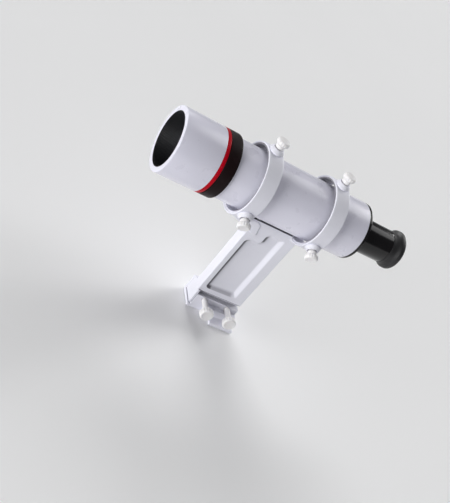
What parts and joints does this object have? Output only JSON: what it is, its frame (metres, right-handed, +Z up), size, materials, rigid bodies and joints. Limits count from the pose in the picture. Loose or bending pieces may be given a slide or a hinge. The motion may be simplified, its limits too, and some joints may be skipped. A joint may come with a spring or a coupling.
{
  "type": "finder scope",
  "caption": "Straight-through finder scope with dew shield, lock ring and rubber eyecup, held by thumb screws in a ring bracket on a dovetail shoe.",
  "frame": {"origin": "on the underside of the shoe, in the middle plane of the bracket's stalk, halfway along the stalk", "axes": "+Y along the optical axis from the objective to the eyepiece, +Z up from the shoe to the tube, +X to the side of the clamp screws"},
  "size_m": [0.0896, 0.2589, 0.199],
  "materials": {
    "white_paint": "smooth satin-gloss white enamel",
    "red_ring": "satin red",
    "black_anodised": "satin black anodised",
    "gloss_black": "gloss black enamel",
    "rubber": "moulded matt black",
    "nylon": "moulded natural nylon",
    "brass": "turned",
    "coated_glass": "coated lens glass",
    "wire": "drawn wire"
  },
  "bodies": {
    "shoe": {"shoe": "white_paint"},
    "bracket": {"bracket": "white_paint"},
    "clamp_screw_front": {"clamp_screw_front": "nylon"},
    "clamp_screw_rear": {"clamp_screw_rear": "nylon"},
    "front_ring_screw_top": {"front_ring_screw_top": "nylon"},
    "front_ring_screw_left": {"front_ring_screw_left": "nylon"},
    "front_ring_screw_right": {"front_ring_screw_right": "nylon"},
    "rear_ring_screw_top": {"rear_ring_screw_top": "nylon"},
    "rear_ring_screw_left": {"rear_ring_screw_left": "nylon"},
    "rear_ring_screw_right": {"rear_ring_screw_right": "nylon"},
    "tube": {"main_tube": "white_paint", "tube_nose": "black_anodised", "front_baffle": "black_anodised", "rear_baffle": "black_anodised", "rear_cap": "gloss_black", "eyepiece_barrel": "gloss_black", "reticle_cell": "brass", "reticle_wire_across": "wire", "reticle_wire_upright": "wire", "reticle_spacer": "black_anodised", "field_lens": "coated_glass", "eyepiece_spacer": "black_anodised", "eye_lens_flint": "coated_glass", "eye_lens_crown": "coated_glass", "eye_lens_retainer": "black_anodised", "eyecup": "rubber"},
    "objective_head": {"objective_cell": "black_anodised", "objective_crown_lens": "coated_glass", "objective_lens_spacer": "black_anodised", "objective_flint_lens": "coated_glass", "objective_retaining_ring": "black_anodised"},
    "dew_shield": {"dew_shield": "white_paint", "accent_ring": "red_ring"},
    "lock_ring": {"lock_ring": "black_anodised"}
  },
  "joints": [
    {"name": "bracket_slide", "type": "slide", "parent": "shoe", "child": "bracket", "axis": [0, -1, 0], "range_m": [0, 0.052]},
    {"name": "clamp_front_travel", "type": "slide", "parent": "shoe", "child": "clamp_screw_front", "axis": [1, 0, 0], "range_m": [0, 0.004]},
    {"name": "clamp_rear_travel", "type": "slide", "parent": "shoe", "child": "clamp_screw_rear", "axis": [1, 0, 0], "range_m": [0, 0.004]},
    {"name": "tube_tilt", "type": "hinge", "parent": "bracket", "child": "tube", "pos_m": [0, 0.0253, 0.1505], "axis": [-1, 0, 0], "range_deg": [-1.25, 1.25]},
    {"name": "front_top_travel", "type": "slide", "parent": "bracket", "child": "front_ring_screw_top", "axis": [0, 0, 1], "range_m": [-0.0018, 0.003]},
    {"name": "front_left_travel", "type": "slide", "parent": "bracket", "child": "front_ring_screw_left", "axis": [0.866, 0, -0.5], "range_m": [-0.0012, 0.003]},
    {"name": "front_right_travel", "type": "slide", "parent": "bracket", "child": "front_ring_screw_right", "axis": [-0.866, 0, -0.5], "range_m": [-0.0012, 0.003]},
    {"name": "rear_top_travel", "type": "slide", "parent": "bracket", "child": "rear_ring_screw_top", "axis": [0, 0, 1], "range_m": [0, 0.003]},
    {"name": "rear_left_travel", "type": "slide", "parent": "bracket", "child": "rear_ring_screw_left", "axis": [0.866, 0, -0.5], "range_m": [0, 0.003]},
    {"name": "rear_right_travel", "type": "slide", "parent": "bracket", "child": "rear_ring_screw_right", "axis": [-0.866, 0, -0.5], "range_m": [0, 0.003]},
    {"name": "focus_travel", "type": "slide", "parent": "tube", "child": "objective_head", "axis": [0, -1, 0], "range_m": [0, 0.003]},
    {"name": "dew_shield_turn", "type": "hinge", "parent": "objective_head", "child": "dew_shield", "pos_m": [0, -0.11, 0.1505], "axis": [0, -1, 0], "range_deg": [-5, 725]},
    {"name": "lock_ring_turn", "type": "hinge", "parent": "objective_head", "child": "lock_ring", "pos_m": [0, -0.0885, 0.1505], "axis": [0, -1, 0], "continuous": true}
  ],
  "couplings": [
    {"joint": "front_top_travel", "follows": "tube_tilt", "m_per_rad": 0.0756},
    {"joint": "front_left_travel", "follows": "tube_tilt", "m_per_rad": -0.0378},
    {"joint": "front_right_travel", "follows": "tube_tilt", "m_per_rad": -0.0378},
    {"joint": "dew_shield_turn", "follows": "focus_travel", "rad_per_m": 4188.8}
  ]
}
